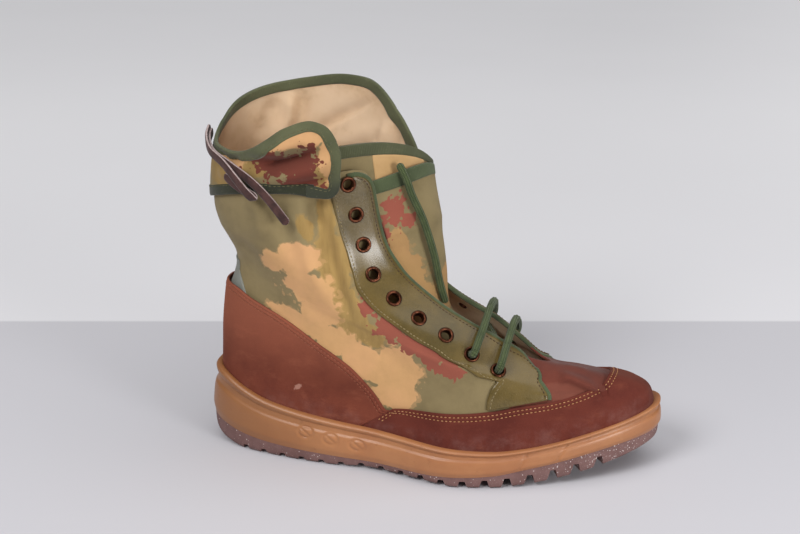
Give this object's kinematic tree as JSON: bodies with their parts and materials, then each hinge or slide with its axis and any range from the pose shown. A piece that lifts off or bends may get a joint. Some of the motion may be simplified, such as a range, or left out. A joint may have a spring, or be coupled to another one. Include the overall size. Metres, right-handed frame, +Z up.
{
  "type": "canvas field boot",
  "caption": "Ankle-high right-foot field boot in camouflage canvas with suede rand and heel counter, leather eyestays, laced throat, turn-up cuff and lugged rubber cup sole.",
  "frame": {"origin": "middle of the sole's box in X and Y, on the plane the boot stands on", "axes": "+X from heel to toe, +Y to the inner side of the foot, +Z up the shaft"},
  "size_m": [0.303, 0.109, 0.242],
  "materials": {
    "canvas": "matt camouflage canvas",
    "suede": "brushed red-brown suede",
    "leather": "glossy olive leather",
    "lining": "matt beige cloth",
    "midsole": "satin tan rubber",
    "outsole": "matt speckled rubber",
    "copper": "dull copper",
    "lace": "matt woven cord",
    "thong": "matt dark suede"
  },
  "bodies": {
    "root": {"outsole": "outsole", "midsole": "midsole", "insole": "lining", "upper": "canvas", "toe_rand": "suede", "heel_counter": "suede", "eyestay_lateral": "leather", "eyestay_medial": "leather", "eyelet_lateral_1": "copper", "eyelet_lateral_2": "copper", "eyelet_lateral_3": "copper", "eyelet_lateral_4": "copper", "eyelet_lateral_5": "copper", "eyelet_lateral_6": "copper", "eyelet_lateral_7": "copper", "eyelet_lateral_8": "copper", "eyelet_lateral_9": "copper", "eyelet_medial_1": "copper", "eyelet_medial_2": "copper", "eyelet_medial_3": "copper", "eyelet_medial_4": "copper", "eyelet_medial_5": "copper", "eyelet_medial_6": "copper", "eyelet_medial_7": "copper", "eyelet_medial_8": "copper", "eyelet_medial_9": "copper", "tongue": "canvas", "tongue_pocket": "canvas", "cuff": "canvas", "lace_bar_upper": "lace", "lace_bar_lower": "lace", "lace_end": "lace", "thong_long": "thong", "thong_short": "thong"}
  },
  "joints": []
}
